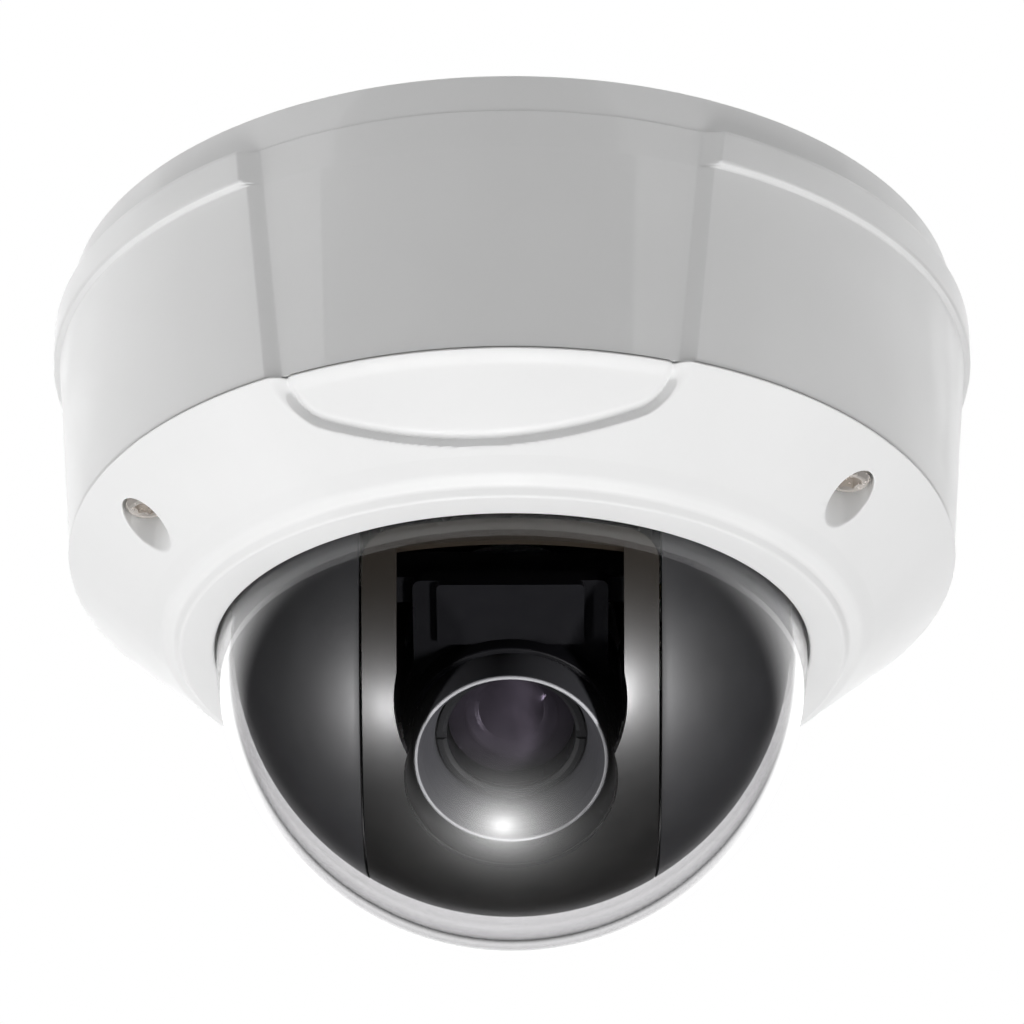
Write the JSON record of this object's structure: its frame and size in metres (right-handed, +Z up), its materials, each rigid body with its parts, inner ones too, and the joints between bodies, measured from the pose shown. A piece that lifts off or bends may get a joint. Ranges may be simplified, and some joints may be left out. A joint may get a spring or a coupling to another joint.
{
  "type": "dome security camera",
  "caption": "Ceiling dome camera: round white housing with a recessed panel, screwed-on cover with a clear bubble, and a pan, tilt and roll lens gimbal behind a black three-slice liner.",
  "frame": {"origin": "centre of the flat face that lies on the ceiling", "axes": "+Z up into the ceiling, the dome hangs along -Z, the recessed panel faces -Y, +X to its right seen from above with -Y forward"},
  "size_m": [0.16, 0.1576, 0.1177],
  "materials": {
    "white_paint": "satin white powder coat on cast aluminium",
    "clear_bubble": "clear polycarbonate, polished",
    "black_plastic": "satin black moulding",
    "grey_plastic": "satin dark grey moulding",
    "anodised_black": "satin black anodised",
    "rubber": "matte black",
    "silicone": "matte grey silicone",
    "zinc_steel": "zinc plated sheet steel",
    "black_steel": "satin black painted sheet steel",
    "stainless": "bright stainless",
    "brass": "turned brass",
    "aluminium": "plain machined aluminium",
    "board_green": "solder-masked glass-fibre board",
    "terminal_green": "moulded terminal block",
    "switch_white": "moulded white button",
    "silicon": "sensor package under cover glass",
    "coated_glass": "lens glass with a purple coating",
    "paper": "white paper sachet"
  },
  "bodies": {
    "base": {"base_housing": "white_paint", "mounting_gasket": "rubber", "cable_grommet": "rubber", "cover_seal": "silicone", "chassis_post_1": "brass", "chassis_post_2": "brass", "chassis_post_3": "brass", "chassis_screw_1": "zinc_steel", "chassis_screw_2": "zinc_steel", "chassis_screw_3": "zinc_steel", "chassis_plate": "zinc_steel", "pan_track": "grey_plastic", "main_board": "board_green", "network_jack": "zinc_steel", "power_terminal": "terminal_green", "memory_card_slot": "stainless", "heat_sink": "aluminium", "desiccant_pack": "paper", "reset_switch": "black_plastic"},
    "reset_button": {"reset_button": "switch_white"},
    "pan": {"pan_turntable": "black_plastic", "pan_clip": "zinc_steel", "yoke_arm_left": "black_steel", "yoke_arm_right": "black_steel", "tilt_pin_left": "stainless", "tilt_pin_right": "stainless", "liner_left": "black_plastic", "liner_right": "black_plastic"},
    "pan_lock": {"pan_lock_screw": "brass"},
    "tilt_lock": {"tilt_lock_screw": "brass"},
    "tilt": {"tilt_cradle": "black_steel", "shutter_band": "black_plastic", "lens_shroud": "black_plastic", "shroud_screw_left": "zinc_steel", "shroud_screw_right": "zinc_steel"},
    "roll": {"sensor_housing": "anodised_black", "sensor_board": "board_green", "image_sensor": "silicon", "filter_holder": "black_plastic", "lens_mount": "aluminium", "lens_barrel": "anodised_black", "rear_element": "coated_glass", "front_element": "coated_glass", "retaining_ring": "anodised_black", "front_barrel": "anodised_black"},
    "zoom": {"zoom_ring": "black_plastic"},
    "focus": {"focus_ring": "grey_plastic"},
    "zoom_lock": {"zoom_lock_screw": "brass"},
    "focus_lock": {"focus_lock_screw": "brass"},
    "cover": {"dome_cover": "white_paint", "dome_bubble": "clear_bubble", "bubble_gasket": "silicone", "bubble_clamp": "zinc_steel", "clamp_screw_1": "zinc_steel", "clamp_screw_2": "zinc_steel", "clamp_screw_3": "zinc_steel"},
    "cover_screw_front_left": {"cover_screw_front_left": "stainless"},
    "cover_screw_front_right": {"cover_screw_front_right": "stainless"},
    "cover_screw_rear": {"cover_screw_rear": "stainless"}
  },
  "joints": [
    {"name": "reset_press", "type": "slide", "parent": "base", "child": "reset_button", "axis": [0, 0, 1], "range_m": [0, 0.0008], "stiffness_N_per_m": 2000},
    {"name": "pan_turn", "type": "hinge", "parent": "base", "child": "pan", "pos_m": [0, 0, -0.0323], "axis": [0, 0, 1], "range_deg": [-175, 175]},
    {"name": "pan_lock_turn", "type": "hinge", "parent": "pan", "child": "pan_lock", "pos_m": [-0.00195, 0.02793, -0.0364], "axis": [0, 0, 1], "range_deg": [-180, 180]},
    {"name": "tilt_lock_turn", "type": "hinge", "parent": "pan", "child": "tilt_lock", "pos_m": [0.02923, 0.00204, -0.0546], "axis": [0.9976, 0.0698, 0], "range_deg": [-180, 180]},
    {"name": "tilt_turn", "type": "hinge", "parent": "pan", "child": "tilt", "pos_m": [0, 0, -0.0636], "axis": [0.9976, 0.0698, 0], "range_deg": [-33, 32]},
    {"name": "roll_turn", "type": "hinge", "parent": "tilt", "child": "roll", "pos_m": [0, 0, -0.0636], "axis": [0.037, -0.5286, -0.848], "range_deg": [-90, 90]},
    {"name": "zoom_turn", "type": "hinge", "parent": "roll", "child": "zoom", "pos_m": [0.00027, -0.00386, -0.06979], "axis": [0.037, -0.5286, -0.848], "range_deg": [-30, 30]},
    {"name": "focus_turn", "type": "hinge", "parent": "roll", "child": "focus", "pos_m": [0.00067, -0.00951, -0.07887], "axis": [0.037, -0.5286, -0.848], "range_deg": [-45, 45]},
    {"name": "zoom_lock_turn", "type": "hinge", "parent": "zoom", "child": "zoom_lock", "pos_m": [-0.00644, 0.00917, -0.07821], "axis": [-0.3968, 0.7711, -0.498], "range_deg": [-180, 180]},
    {"name": "focus_lock_turn", "type": "hinge", "parent": "focus", "child": "focus_lock", "pos_m": [0.00595, 0.00563, -0.08808], "axis": [0.2856, 0.8188, -0.498], "range_deg": [-180, 180]},
    {"name": "cover_lift_off", "type": "slide", "parent": "base", "child": "cover", "axis": [0, 0, -1], "range_m": [0, 0.13]},
    {"name": "cover_screw_front_left_turn", "type": "hinge", "parent": "cover", "child": "cover_screw_front_left", "pos_m": [-0.05846, -0.03375, -0.0536], "axis": [0, 0, 1], "range_deg": [-180, 180]},
    {"name": "cover_screw_front_right_turn", "type": "hinge", "parent": "cover", "child": "cover_screw_front_right", "pos_m": [0.05846, -0.03375, -0.0536], "axis": [0, 0, 1], "range_deg": [-180, 180]},
    {"name": "cover_screw_rear_turn", "type": "hinge", "parent": "cover", "child": "cover_screw_rear", "pos_m": [0, 0.0675, -0.0536], "axis": [0, 0, 1], "range_deg": [-180, 180]}
  ]
}
